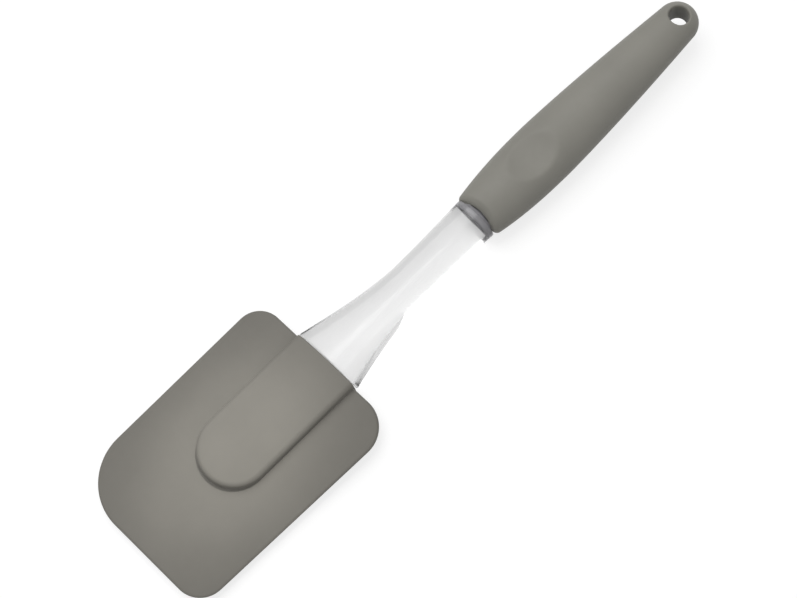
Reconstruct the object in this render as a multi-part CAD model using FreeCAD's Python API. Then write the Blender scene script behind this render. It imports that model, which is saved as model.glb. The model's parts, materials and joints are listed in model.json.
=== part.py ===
import FreeCAD, Part

import math
import os

# A silicone spatula that lies on its back along X, with the head at +X and the grip at -X.
# Its pieces are the silicone head, the clear shank, the core of the grip and the sleeve over the core.
# All lengths are millimetres. Shapes are built about the mid plane and lifted at the end,
# so that the lowest point of the grip lies on z = 0.

# Lengths along the tool
GRIP_LENGTH = 103.6
SHANK_LENGTH = 69.4
HEAD_LENGTH = 87.2

# Blade of the head. Its near and far edges and the rim of its boss slant, and its far edge lies a little
# towards -Y.
BLADE_WIDTH_NEAR = 63.1
BLADE_WIDTH_FAR = 60.5
FAR_SHIFT = 0.85
EDGE_SLANT = math.radians(2.1)
BLADE_THICK_NEAR = 3.4
BLADE_THICK_FAR = 1.6
CORNER_FAR_ROUND = 20.0
CORNER_FAR_TIGHT = 10.0
CORNER_NEAR_ROUND = 11.4
CORNER_NEAR_TIGHT = 9.0
BLADE_EDGE_RADIUS = 0.5
RIM_PROUD = 0.7
RIM_BOW = 0.25

# Raised boss of the head and the pocket in it
BOSS_WIDTH = 25.8
BOSS_LENGTH = 54.8
BOSS_THICK = 10.0
BOSS_EDGE_RADIUS = 1.9
POCKET_WALL = 2.0
POCKET_END_WALL = 2.6
PUSH_CLEARANCE = 0.1

# Clear shank. The roundings are the shares of its half thickness that its round sides take,
# and the powers set how late its width grows from the waist towards each end.
RIM_GAP = 0.3
FLARE_OVERHANG = 0.6
SHOULDER_STEP = 1.3
TONGUE_EDGE_RADIUS = 1.0
TONGUE_ROOT = 2.0
TONGUE_END_GAP = 0.8
WAIST_FROM_GRIP = 32.0
WAIST_WIDTH = 14.3
WAIST_THICK = 11.0
SHANK_END_WIDTH = 16.4
SHANK_END_THICK = 12.8
NECK_ROUNDING = 0.86
FLARE_ROUNDING = 0.58
FLARE_POWER = 1.5
NECK_POWER = 1.7
SKIRT_WALL = 1.4
LAP_LENGTH = 2.2

# Core of the grip, with a groove behind the lip that its front shows at the mouth
LIP_THICK = 0.8
GROOVE_WIDTH = 1.8
GROOVE_DEPTH = 0.9
COLLAR_WALL = 1.9
COLLAR_NOSE_RADIUS = 0.8
JOINT_CLEARANCE = 0.1
TANG_LENGTH = 45.0
CORING_COUNT = 3
CORING_WALL = 2.0
CORING_WEB = 2.4

# Sleeve of the grip. The powers set how its width falls from the belly to the mouth and to the end,
# and its mouth draws back over both faces like a saddle. A shallow thumb dish is pressed into each face.
MOUTH_WIDTH = 17.6
MOUTH_THICK = 15.0
MOUTH_RADIUS = 1.6
MOUTH_SADDLE = 2.4
BELLY_FROM_MOUTH = 32.0
BELLY_WIDTH = 22.6
BELLY_THICK = 18.4
END_WIDTH = 14.9
END_THICK = 14.0
FRONT_POWER = 2.3
REAR_POWER = 1.47
CAP_SWEEP = math.radians(86)
THUMB_FROM_MOUTH = 26.0
THUMB_THICK = 14.5
THUMB_RADIUS = 28.0
SLEEVE_WALL = 2.2
HOLE_RADIUS = 3.4
HOLE_FROM_END = 6.85
HOLE_WEB = 3.5

# Stations along X, with x = 0 in the middle of the tool
x_grip_end = -(GRIP_LENGTH + SHANK_LENGTH + HEAD_LENGTH) / 2
x_mouth = x_grip_end + GRIP_LENGTH
x_rim = x_mouth + SHANK_LENGTH
x_tip = x_rim + HEAD_LENGTH
x_blade = x_rim + RIM_PROUD
x_shoulder = x_rim - RIM_GAP
x_skirt = x_mouth + JOINT_CLEARANCE
x_waist = x_mouth + WAIST_FROM_GRIP
x_belly = x_mouth - BELLY_FROM_MOUTH
x_thumb = x_mouth - THUMB_FROM_MOUTH
x_cap = x_grip_end + END_WIDTH / 2
x_hole = x_grip_end + HOLE_FROM_END
x_core_end = x_hole + HOLE_RADIUS + HOLE_WEB
x_tang_end = x_mouth - TANG_LENGTH

# Sizes that fit each other
pocket_width = BOSS_WIDTH - 2 * POCKET_WALL
pocket_thick = BOSS_THICK - 2 * POCKET_WALL
pocket_length = BOSS_LENGTH - POCKET_END_WALL
tongue_width = pocket_width - 2 * PUSH_CLEARANCE
tongue_thick = pocket_thick - 2 * PUSH_CLEARANCE
tongue_length = pocket_length - TONGUE_END_GAP
flare_width = BOSS_WIDTH + 2 * FLARE_OVERHANG
flare_thick = tongue_thick + 2 * SHOULDER_STEP
rim_reach = RIM_BOW + flare_width / 2 * math.tan(EDGE_SLANT)
x_flare = x_shoulder + rim_reach
core_inset = SLEEVE_WALL + JOINT_CLEARANCE

# The collar of the core sits inside the skirt, and the tang sits inside the collar
collar_half_width = SHANK_END_WIDTH / 2 - SKIRT_WALL - JOINT_CLEARANCE
collar_half_thick = SHANK_END_THICK / 2 - SKIRT_WALL - JOINT_CLEARANCE
socket_half_width = collar_half_width - COLLAR_WALL
socket_half_thick = collar_half_thick - COLLAR_WALL
tang_half_width = socket_half_width - JOINT_CLEARANCE
tang_half_thick = socket_half_thick - JOINT_CLEARANCE

# Directions, the distance within which an edge counts as lying in a plane,
# the length by which a form is built past a cut, and the share of a wall that a fillet may take
UP = FreeCAD.Vector(0, 0, 1)
ALONG = FreeCAD.Vector(1, 0, 0)
ACROSS = FreeCAD.Vector(0, 1, 0)
TOUCH = 0.01
SPARE = 1.0
FILLET_SHARE = 0.45

# Numbers of sections between the stations of the lofted forms
NECK_STEPS = 3
FLARE_STEPS = 5
FRONT_STEPS = 4
REAR_STEPS = 6
CAP_STEPS = 6


def even_steps(x_from, x_to, count):
    """Evenly spaced stations from x_from towards x_to, without x_to itself."""
    return [x_from + (x_to - x_from) * step / count for step in range(count)]


def slab(x_from, x_to, y_half, z_from, z_to):
    """Box between two stations along X, even about y = 0."""
    corner = FreeCAD.Vector(x_from, -y_half, z_from)
    return Part.makeBox(x_to - x_from, 2 * y_half, z_to - z_from, corner)


def ellipse_section(x, half_width, half_thick):
    """Closed ellipse in a plane across the tool, from a stretched unit circle."""
    circle = Part.Wire(Part.makeCircle(1.0, FreeCAD.Vector(0, 0, 0), ALONG))
    stretch = FreeCAD.Matrix()
    stretch.scale(1.0, half_width, half_thick)
    ring = circle.transformGeometry(stretch)
    ring.translate(ALONG * x)
    return ring


def ellipse_rod(x_from, x_to, half_width, half_thick):
    """Straight rod with an elliptic section."""
    face = Part.Face(ellipse_section(x_from, half_width, half_thick))
    return face.extrude(ALONG * (x_to - x_from))


def oval_section(x, half_width, half_thick, rounding):
    """Flat oval of four tangent arcs in a plane across the tool."""
    side = half_thick * rounding
    middle = half_width - side
    broad = (middle**2 + half_thick**2 - side**2) / (2 * (half_thick - side))
    lean = math.atan2(middle, broad - half_thick)
    y_join = middle + side * math.sin(lean)
    z_join = side * math.cos(lean)

    def arc(start, through, end):
        points = [FreeCAD.Vector(x, y, z) for y, z in (start, through, end)]
        return Part.Arc(*points).toShape()

    right = arc((y_join, -z_join), (half_width, 0), (y_join, z_join))
    top = arc((y_join, z_join), (0, half_thick), (-y_join, z_join))
    left = arc((-y_join, z_join), (-half_width, 0), (-y_join, -z_join))
    bottom = arc((-y_join, -z_join), (0, -half_thick), (y_join, -z_join))
    return Part.Wire([right, top, left, bottom])


def tongue_prism(x_from, length, width, thick):
    """Flat tongue with a half round end towards the head."""
    half = width / 2
    x_round = x_from + length - half
    back_left = FreeCAD.Vector(x_from, -half, 0)
    back_right = FreeCAD.Vector(x_from, half, 0)
    front_right = FreeCAD.Vector(x_round, half, 0)
    front_left = FreeCAD.Vector(x_round, -half, 0)
    nose = FreeCAD.Vector(x_from + length, 0, 0)
    outline = Part.Wire([
        Part.makeLine(back_left, back_right),
        Part.makeLine(back_right, front_right),
        Part.Arc(front_right, nose, front_left).toShape(),
        Part.makeLine(front_left, back_left),
    ])
    outline.translate(UP * (-thick / 2))
    return Part.Face(outline).extrude(UP * thick)


def lies_level(edge, z):
    """True for an edge that lies in the level plane at z."""
    box = edge.BoundBox
    return abs(box.ZMin - z) < TOUCH and abs(box.ZMax - z) < TOUCH


def soften_faces(shape, thick, radius, x_open):
    """Round the edges of the two broad faces of a flat body, but not at its open end, behind x_open."""
    edges = []
    for edge in shape.Edges:
        on_face = lies_level(edge, thick / 2) or lies_level(edge, -thick / 2)
        if on_face and edge.BoundBox.XMax > x_open + TOUCH:
            edges.append(edge)
    return shape.makeFillet(radius, edges)


def rim_drum(x):
    """Upright drum through x that gives the boss's rim and the shank's shoulder the same bow and slant."""
    half = BOSS_WIDTH / 2
    radius = (half**2 + RIM_BOW**2) / (2 * RIM_BOW)
    x_centre = x + radius * math.cos(EDGE_SLANT)
    y_centre = radius * math.sin(EDGE_SLANT)
    return Part.makeCylinder(radius, 4 * BOSS_THICK, FreeCAD.Vector(x_centre, y_centre, -2 * BOSS_THICK), UP)


def blade_plate():
    """Blade with four different corners, thinner towards its far edge."""
    slope = math.tan(EDGE_SLANT)
    near = BLADE_WIDTH_NEAR / 2
    x_near_left = x_blade + slope * near
    x_near_right = x_blade - slope * near
    x_far_left = x_tip + slope * CORNER_FAR_ROUND
    x_far_right = x_far_left - slope * BLADE_WIDTH_FAR
    corners = [
        FreeCAD.Vector(x_near_left, -near, 0),
        FreeCAD.Vector(x_far_left, -BLADE_WIDTH_FAR / 2 - FAR_SHIFT, 0),
        FreeCAD.Vector(x_far_right, BLADE_WIDTH_FAR / 2 - FAR_SHIFT, 0),
        FreeCAD.Vector(x_near_right, near, 0),
    ]
    radii = [CORNER_NEAR_TIGHT, CORNER_FAR_ROUND, CORNER_FAR_TIGHT, CORNER_NEAR_ROUND]
    profile = Part.makePolygon([
        FreeCAD.Vector(x_near_right, 0, -BLADE_THICK_NEAR / 2),
        FreeCAD.Vector(x_far_left, 0, -BLADE_THICK_FAR / 2),
        FreeCAD.Vector(x_far_left, 0, BLADE_THICK_FAR / 2),
        FreeCAD.Vector(x_near_right, 0, BLADE_THICK_NEAR / 2),
        FreeCAD.Vector(x_near_right, 0, -BLADE_THICK_NEAR / 2),
    ])
    profile.translate(FreeCAD.Vector(0, -BLADE_WIDTH_NEAR, 0))
    wedge = Part.Face(profile).extrude(FreeCAD.Vector(0, 2 * BLADE_WIDTH_NEAR, 0))
    outline = Part.makePolygon(corners + corners[:1])
    outline.translate(UP * -BLADE_THICK_NEAR)
    plate = Part.Face(outline).extrude(UP * (2 * BLADE_THICK_NEAR))
    for corner, radius in zip(corners, radii):
        upright = [
            edge for edge in plate.Edges
            if all(math.hypot(v.X - corner.x, v.Y - corner.y) < TOUCH for v in edge.Vertexes)
        ]
        plate = plate.makeFillet(radius, upright)
    plate = plate.common(wedge)
    rim = [edge for edge in plate.Edges if abs(edge.CenterOfMass.z) > TOUCH]
    return plate.makeFillet(min(BLADE_EDGE_RADIUS, FILLET_SHARE * BLADE_THICK_FAR), rim)


def silicone_head():
    """Blade and boss in one piece, with a pocket for the tongue of the shank."""
    x_back = x_rim - SPARE
    boss = tongue_prism(x_back, SPARE + BOSS_LENGTH, BOSS_WIDTH, BOSS_THICK).common(rim_drum(x_rim))
    boss = soften_faces(boss, BOSS_THICK, BOSS_EDGE_RADIUS, x_rim + rim_reach)
    pocket = tongue_prism(x_back, SPARE + pocket_length, pocket_width, pocket_thick)
    pocket = soften_faces(pocket, pocket_thick, TONGUE_EDGE_RADIUS, x_back)
    return blade_plate().fuse(boss).removeSplitter().cut(pocket)


def shank_section(x):
    """Section of the clear bar: widest at the head, narrow at the waist, rounder at the grip."""
    if x > x_waist:
        share = (x - x_waist) / (x_flare - x_waist)
        width = WAIST_WIDTH + (flare_width - WAIST_WIDTH) * share**FLARE_POWER
        thick = WAIST_THICK + (flare_thick - WAIST_THICK) * share
        rounding = NECK_ROUNDING + (FLARE_ROUNDING - NECK_ROUNDING) * share
    else:
        share = (x_waist - x) / (x_waist - x_skirt)
        width = WAIST_WIDTH + (SHANK_END_WIDTH - WAIST_WIDTH) * share**NECK_POWER
        thick = WAIST_THICK + (SHANK_END_THICK - WAIST_THICK) * share
        rounding = NECK_ROUNDING
    return oval_section(x, width / 2, thick / 2, rounding)


def clear_shank():
    """Clear bar with a tongue for the head, a tang for the grip and a skirt around the tang."""
    neck_steps = even_steps(x_skirt, x_waist, NECK_STEPS)
    flare_steps = even_steps(x_waist, x_flare, FLARE_STEPS) + [x_flare]
    bar = Part.makeLoft([shank_section(x) for x in neck_steps + flare_steps], True, False)
    bar = bar.cut(rim_drum(x_shoulder))
    x_root = x_shoulder - TONGUE_ROOT
    tongue = tongue_prism(x_root, x_rim - x_root + tongue_length, tongue_width, tongue_thick)
    tongue = soften_faces(tongue, tongue_thick, TONGUE_EDGE_RADIUS, x_root)
    x_floor = x_mouth + LAP_LENGTH
    half_width = SHANK_END_WIDTH / 2 - SKIRT_WALL
    half_thick = SHANK_END_THICK / 2 - SKIRT_WALL
    recess = ellipse_rod(x_skirt, x_floor, half_width, half_thick)
    tang = ellipse_rod(x_tang_end, x_floor + SPARE, tang_half_width, tang_half_thick)
    return bar.cut(recess).fuse([tongue, tang]).removeSplitter()


def grip_halves(x):
    """Half width and half thickness of the round grip at x, before its dishes are cut."""
    if x > x_belly:
        share = ((x - x_belly) / BELLY_FROM_MOUTH) ** FRONT_POWER
        ends = (MOUTH_WIDTH, MOUTH_THICK)
    else:
        share = ((x_belly - x) / (x_belly - x_cap)) ** REAR_POWER
        ends = (END_WIDTH, END_THICK)
    width = BELLY_WIDTH + (ends[0] - BELLY_WIDTH) * share
    thick = BELLY_THICK + (ends[1] - BELLY_THICK) * share
    return width / 2, thick / 2


def thumb_cutter(inset):
    """Level drums across the tool that press a shallow dish into each face of the grip."""
    drums = []
    for side in (1, -1):
        start = FreeCAD.Vector(x_thumb, -BELLY_WIDTH, side * (THUMB_THICK / 2 + THUMB_RADIUS))
        drums.append(Part.makeCylinder(THUMB_RADIUS + inset, 2 * BELLY_WIDTH, start, ACROSS))
    return drums


def grip_sections(inset):
    """Sections of the round grip, drawn in by an even inset, from past its mouth to its end cap."""
    front_steps = even_steps(x_mouth + SPARE, x_belly, FRONT_STEPS)
    rear_steps = even_steps(x_belly, x_cap, REAR_STEPS) + [x_cap]
    sections = []
    for x in front_steps + rear_steps:
        half_width, half_thick = grip_halves(x)
        sections.append(ellipse_section(x, half_width - inset, half_thick - inset))
    return sections


def cap_sections():
    """Sections of the half round end, down to a small flat at its pole."""
    sections = []
    for step in range(1, CAP_STEPS + 1):
        angle = CAP_SWEEP * step / CAP_STEPS
        x = x_cap - (x_cap - x_grip_end) * math.sin(angle) / math.sin(CAP_SWEEP)
        shrink = math.cos(angle)
        sections.append(ellipse_section(x, END_WIDTH / 2 * shrink, END_THICK / 2 * shrink))
    return sections


def core_blank(inset, x_back, x_front):
    """Inner form of the grip, drawn in by an even inset, from x_back to x_front."""
    blank = Part.makeLoft(grip_sections(inset), True, False).cut(thumb_cutter(inset))
    return blank.common(slab(x_back, x_front, BELLY_WIDTH, -BELLY_THICK, BELLY_THICK))


def saddle_cutter():
    """Block beyond the mouth, hollowed by a level drum so that the mouth draws back over its two faces."""
    block = slab(x_mouth - 2 * MOUTH_SADDLE, x_mouth + 2 * SPARE, BELLY_WIDTH, -MOUTH_THICK, MOUTH_THICK)
    radius = ((MOUTH_THICK / 2) ** 2 + MOUTH_SADDLE**2) / (2 * MOUTH_SADDLE)
    start = FreeCAD.Vector(x_mouth - radius, -BELLY_WIDTH, 0)
    return block.cut(Part.makeCylinder(radius, 2 * BELLY_WIDTH, start, ACROSS))


def grip_sleeve():
    """Soft sleeve with a closed end and a hang hole, open at its mouth for the core."""
    outside = Part.makeLoft(grip_sections(0) + cap_sections(), True, False)
    outside = outside.cut(thumb_cutter(0) + [saddle_cutter()])
    mouth = [edge for edge in outside.Edges if edge.BoundBox.XMin > x_mouth - 2 * MOUTH_SADDLE]
    outside = outside.makeFillet(MOUTH_RADIUS, mouth)
    cavity = core_blank(SLEEVE_WALL, x_core_end - JOINT_CLEARANCE, x_mouth + 2 * SPARE)
    hole = Part.makeCylinder(HOLE_RADIUS, 2 * END_THICK, FreeCAD.Vector(x_hole, 0, -END_THICK), UP)
    return outside.cut([cavity, hole])


def coring():
    """Pockets in both faces of the solid rear of the core."""
    x_front = x_tang_end - CORING_WALL
    pitch = (x_front - x_core_end) / CORING_COUNT
    pockets = []
    for index in range(CORING_COUNT):
        x_back = x_core_end + pitch * index + CORING_WALL
        x_fore = x_core_end + pitch * (index + 1)
        half = grip_halves(x_back)[0] - core_inset - CORING_WALL
        pockets.append(slab(x_back, x_fore, half, CORING_WEB / 2, BELLY_THICK))
        pockets.append(slab(x_back, x_fore, half, -BELLY_THICK, -CORING_WEB / 2))
    return pockets


def lip_groove():
    """Groove round the core behind its lip, under the mouth of the sleeve."""
    x_front = x_mouth - LIP_THICK
    x_back = x_front - GROOVE_WIDTH
    half_width, half_thick = [half - core_inset - GROOVE_DEPTH for half in grip_halves(x_mouth)]
    around = slab(x_back, x_front, BELLY_WIDTH, -BELLY_THICK, BELLY_THICK)
    return around.cut(ellipse_rod(x_back - SPARE, x_front + SPARE, half_width, half_thick))


def grip_core():
    """Hard core with a collar in front of the sleeve, a lip at its mouth and a socket for the tang."""
    blank = core_blank(core_inset, x_core_end, x_mouth)
    x_collar = x_mouth + LAP_LENGTH - JOINT_CLEARANCE
    collar = ellipse_rod(x_mouth, x_collar, collar_half_width, collar_half_thick)
    nose = [edge for edge in collar.Edges if edge.BoundBox.XMin > x_mouth + TOUCH]
    collar = collar.makeFillet(COLLAR_NOSE_RADIUS, nose)
    x_socket_end = x_tang_end - JOINT_CLEARANCE
    socket = ellipse_rod(x_socket_end, x_collar + SPARE, socket_half_width, socket_half_thick)
    return blank.fuse(collar).removeSplitter().cut([lip_groove(), socket] + coring())


shapes = {
    "silicone_head": silicone_head(),
    "clear_shank": clear_shank(),
    "grip_core": grip_core(),
    "grip_sleeve": grip_sleeve(),
}
lift = -shapes["grip_sleeve"].optimalBoundingBox(False).ZMin

os.makedirs("parts", exist_ok=True)
for name, shape in shapes.items():
    shape.translate(UP * lift)
    shape.exportStep("parts/" + name + ".step")
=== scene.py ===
import json
import math

import bmesh
import bpy
from bpy.props import FloatProperty, FloatVectorProperty, PointerProperty
from mathutils import Matrix, Vector


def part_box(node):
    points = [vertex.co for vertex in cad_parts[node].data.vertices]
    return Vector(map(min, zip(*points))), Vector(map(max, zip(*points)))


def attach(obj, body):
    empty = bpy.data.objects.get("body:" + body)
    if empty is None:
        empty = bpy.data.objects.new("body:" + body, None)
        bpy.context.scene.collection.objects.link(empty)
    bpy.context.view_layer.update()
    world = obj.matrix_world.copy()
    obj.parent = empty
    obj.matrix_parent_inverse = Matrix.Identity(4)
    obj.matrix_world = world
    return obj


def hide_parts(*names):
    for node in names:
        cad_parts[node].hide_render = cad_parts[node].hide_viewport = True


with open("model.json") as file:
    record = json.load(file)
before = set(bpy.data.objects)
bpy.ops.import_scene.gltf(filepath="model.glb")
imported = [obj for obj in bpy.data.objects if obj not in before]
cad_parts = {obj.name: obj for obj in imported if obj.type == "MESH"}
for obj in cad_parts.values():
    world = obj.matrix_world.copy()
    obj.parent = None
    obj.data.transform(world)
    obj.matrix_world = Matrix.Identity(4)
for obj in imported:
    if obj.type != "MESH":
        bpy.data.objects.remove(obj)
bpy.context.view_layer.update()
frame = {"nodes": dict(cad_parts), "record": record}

bl_info = {
    "name": "Silicone Spatula",
    "version": (1, 0, 0),
    "blender": (4, 5, 0),
    "location": "View3D > Sidebar > Spatula",
    "description": "Dresses the packed solids of a silicone spatula and lays it on a pale studio floor",
    "category": "Add Mesh",
}

MM = 0.001

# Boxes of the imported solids, and the level of the plane halfway through the tool
HEAD_LOW, HEAD_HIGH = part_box("silicone_head")
SHANK_LOW, SHANK_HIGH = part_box("clear_shank")
CORE_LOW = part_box("grip_core")[0]
SLEEVE_LOW, SLEEVE_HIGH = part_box("grip_sleeve")
MID_Z = (HEAD_LOW.z + HEAD_HIGH.z) / 2
HANG_HOLE = next(mount for mount in frame["record"]["mounts"] if mount["name"] == "hang_hole")

# Points on a quarter of a section: across the broad face, round its edge and down its side
FACE_ROWS = 14
EDGE_ROWS = 10
SIDE_ROWS = 8

# Points from the foot of the boss outwards: round the fillet, across the blade and round its rim
FILLET_ROWS = 6
BLADE_ROWS = 16
RIM_ROWS = 9

# Distance within which points are welded, and angle from which an edge is shaded sharp
WELD = 2e-6
SHARP_ANGLE = math.radians(45)

# Power of a section's curve that makes it an ellipse
ELLIPSE = 2.0

# Rounds of the searches by repetition and by halving
REPEATS = 40
HALVINGS = 50

# Span that most values of a noise lie in
NOISE_LOW = 0.3
NOISE_HIGH = 0.7


def length(name, description, millimetres):
    """Length property, given in millimetres and held in metres."""
    return FloatProperty(
        name=name, description=description, default=millimetres * MM, unit="LENGTH", precision=5
    )


def share(name, description, default):
    """Plain number property between nothing and a few."""
    return FloatProperty(name=name, description=description, default=default, min=0.0, soft_max=4.0)


def colour(name, description, default):
    """Colour property."""
    return FloatVectorProperty(
        name=name, description=description, default=default, subtype="COLOR", min=0, max=1
    )


def tool_angle(name, description, degrees):
    """Angle property, given in degrees and held in radians."""
    return FloatProperty(name=name, description=description, default=math.radians(degrees), subtype="ANGLE")


def tool_place(name, description, default):
    """Point property in the frame of the tool, in metres."""
    return FloatVectorProperty(
        name=name, description=description, default=default, subtype="XYZ", precision=5
    )


def lamp_power(name, description, watts):
    """Power property of a lamp."""
    return FloatProperty(name=name, description=description, default=watts, unit="POWER")


def pixels(name, description, count):
    """Property in pixels of the picture."""
    return FloatProperty(name=name, description=description, default=count, subtype="PIXEL")


class HeadSettings(bpy.types.PropertyGroup):
    """Sizes of the silicone head."""

    rim_from_grip: length("Rim place", "From the mouth of the grip to the rim of the boss", 69.4)
    blade_back: length("Blade set-back", "From the rim of the boss to the near edge of the blade", 0.7)
    width_near: length("Near width", "Width of the blade at its near edge", 63.1)
    width_far: length("Far width", "Width of the blade at its far edge", 60.5)
    far_shift: length("Far shift", "How far the far edge lies towards -Y", 0.85)
    edge_slant: tool_angle("Edge slant", "Slant of the blade's near and far edges and of the boss's rim", 2.1)
    half_near: length("Near half thickness", "Half the blade's thickness at its near edge", 1.7)
    half_far: length("Far half thickness", "Half the blade's thickness at its far edge", 0.8)
    crown: share("Blade crown", "Share of its thickness that the blade loses at its sides", 0.6)
    rim: length("Blade rim", "Depth of the rounded rim of the blade", 0.9)
    near_tight: length("Near tight corner", "Radius of the near corner towards -Y", 9.0)
    far_round: length("Far round corner", "Radius of the far corner towards -Y", 20.0)
    far_tight: length("Far tight corner", "Radius of the far corner towards +Y", 10.0)
    near_round: length("Near round corner", "Radius of the near corner towards +Y", 11.4)
    boss_width: length("Boss width", "Width of the raised boss", 25.8)
    boss_length: length("Boss length", "Length of the raised boss", 54.8)
    boss_edge: length("Boss edge", "Radius along the top edge of the boss", 1.9)
    boss_crown: length("Boss crown", "How far the boss drops from its middle to its edge", 0.35)
    boss_foot: length("Boss foot", "Radius of the fillet between boss and blade", 0.25)
    mouth_edge: length("Mouth edge", "Radius round the mouth of the pocket", 0.4)
    rim_bow: length("Rim bow", "How far the middle of the rim stands out before its ends", 0.25)
    bow_reach: length("Bow reach", "Length over which the bow and slant of the rim die away", 12.0)
    pocket_wall: length("Pocket wall", "Silicone between the pocket and the outside", 2.0)
    pocket_end: length("Pocket end wall", "Silicone between the pocket and the tip of the boss", 2.6)
    pocket_edge: length("Pocket edge", "Radius along the edges of the pocket", 1.0)


class ShankSettings(bpy.types.PropertyGroup):
    """Sizes of the clear shank."""

    waist_from_grip: length("Waist place", "From the mouth of the grip to the waist", 32.0)
    waist_width: length("Waist width", "Width of the bar at its waist", 14.3)
    waist_thick: length("Waist thickness", "Thickness of the bar at its waist", 11.0)
    end_width: length("End width", "Width of the bar at the grip", 16.4)
    end_thick: length("End thickness", "Thickness of the bar at the grip", 12.8)
    flare_width: length("Flare width", "Width of the bar at the head", 27.0)
    flare_thick: length("Flare thickness", "Thickness of the bar at the head", 8.4)
    neck_squareness: share("Neck squareness", "Power of the section at the neck; 2 is an ellipse", 2.5)
    flare_squareness: share("Flare squareness", "Power of the section at the head; 2 is an ellipse", ELLIPSE)
    flare_power: share("Flare power", "How late the width grows towards the head", 1.5)
    neck_power: share("Neck power", "How late the width grows towards the grip", 1.7)
    rim_gap: length("Rim gap", "Gap between the shoulder and the rim of the boss", 0.3)
    tongue_width: length("Tongue width", "Width of the tongue in the head", 21.6)
    tongue_thick: length("Tongue thickness", "Thickness of the tongue in the head", 5.8)
    tongue_edge: length("Tongue edge", "Radius along the edges of the tongue", 1.0)
    skirt_wall: length("Skirt wall", "Thickness of the skirt around the collar", 1.55)
    lap: length("Lap", "How deep the collar sits in the skirt", 1.9)
    nose: length("Collar nose", "Radius round the end of the collar", 0.9)
    skirt_gap: length("Skirt gap", "Gap between the skirt and the mouth of the sleeve", 0.1)
    tang_width: length("Tang width", "Width of the tang in the grip", 9.4)
    tang_thick: length("Tang thickness", "Thickness of the tang in the grip", 5.8)
    edge: length("Edge", "Radius along the outer edges of the bar", 0.35)


class SleeveSettings(bpy.types.PropertyGroup):
    """Sizes of the soft sleeve."""

    mouth_width: length("Mouth width", "Width at the mouth", 17.6)
    mouth_thick: length("Mouth thickness", "Thickness at the mouth", 15.0)
    mouth_edge: length("Mouth edge", "Radius round the mouth", 1.6)
    mouth_saddle: length("Mouth saddle", "How far the mouth draws back over its two faces", 2.9)
    mouth_slant: share("Mouth slant", "Slope by which the mouth lies further back towards +Y", 0.06)
    saddle_reach: length("Saddle reach", "Length over which the saddle of the mouth dies away", 12.0)
    belly_from_mouth: length("Belly place", "From the mouth to the widest place", 32.0)
    belly_width: length("Belly width", "Width at the widest place", 22.6)
    belly_thick: length("Belly thickness", "Thickness at the widest place", 18.4)
    end_width: length("End width", "Width of the round end", 14.9)
    end_thick: length("End thickness", "Thickness of the round end", 14.0)
    front_power: share("Front power", "How the width falls towards the mouth", 2.3)
    rear_power: share("Rear power", "How the width falls towards the end", 1.47)
    thumb_from_mouth: length("Thumb place", "From the mouth to the middle of the thumb dishes", 26.0)
    thumb_thick: length("Thumb thickness", "Distance between the two thumb dishes", 14.5)
    thumb_radius: length("Thumb radius", "Radius of the thumb dishes along the tool", 28.0)
    thumb_blend: length("Thumb blend", "Softness of the edges of the thumb dishes", 0.5)
    wall: length("Wall", "Thickness of the sleeve over its core", 2.2)
    hole_edge: length("Hole edge", "Width of the rounding round the rim of the hang hole", 0.75)
    hole_sink: length("Hole sink", "Depth of the rounding round the rim of the hang hole", 1.4)


class FinishSettings(bpy.types.PropertyGroup):
    """Colours of the spatula and its floor."""

    head_silicone: colour("Head silicone", "Grey of the head", (0.165, 0.157, 0.137))
    grip_silicone: colour("Grip silicone", "Grey of the sleeve", (0.238, 0.231, 0.204))
    clear_plastic: colour("Clear plastic", "Tint of the shank", (0.97, 0.97, 0.97))
    core_plastic: colour("Core plastic", "Dark grey of the core", (0.215, 0.211, 0.223))
    floor: colour("Floor", "Tint of the floor", (0.3, 0.3, 0.3))


class StageSettings(bpy.types.PropertyGroup):
    """Camera and lamps, in the frame of the tool, and the levels of the surroundings and the floor."""

    camera_from: tool_place("Camera place", "Where the camera stands", (0.073, 0.140, 0.57916))
    camera_to: tool_place("Camera aim", "What the camera looks at", (0.01157, 0.00143, 0.00916))
    camera_roll: tool_angle("Camera roll", "Turn of the picture from the tool's length", 224.139)
    focal_pixels: pixels("Focal length", "Focal length of the camera", 1772.97)
    picture_width: pixels("Picture width", "Width of the picture", 797.0)
    key_power: lamp_power("Key power", "Power of the large soft lamp", 4.6)
    key_side: length("Key side", "Side of the large soft lamp", 800.0)
    key_from: tool_place("Key place", "Where the large soft lamp hangs", (-0.1, -0.45, 0.9))
    key_to: tool_place("Key aim", "What the large soft lamp points at", (0.05, 0.0, 0.0))
    head_power: lamp_power("Head power", "Power of the soft spot on the head", 20.0)
    head_source: length("Head source", "Radius of the source of the soft spot", 12.0)
    head_cone: tool_angle("Head cone", "Opening of the soft spot", 4.8)
    head_stretch: share("Head stretch", "Length of the spot's pool of light against its width", 1.33)
    head_from: tool_place("Head lamp place", "Where the soft spot hangs", (-0.28, -0.08, 0.72))
    head_to: tool_place("Head lamp aim", "What the soft spot points at", (0.0845, 0.0, 0.012))
    world_level: share("World level", "Strength of the even light from all around", 0.55)
    world_seen: share("World seen", "Strength of the surroundings to the camera and in mirrors", 1.0)
    world_through: share("World through glass", "Strength of the surroundings through glass", 0.82)
    floor_seen: share("Floor seen", "Glow of the floor to the camera and in mirrors", 0.74)
    floor_through: share("Floor through glass", "Glow of the floor through glass", 0.44)


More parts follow.
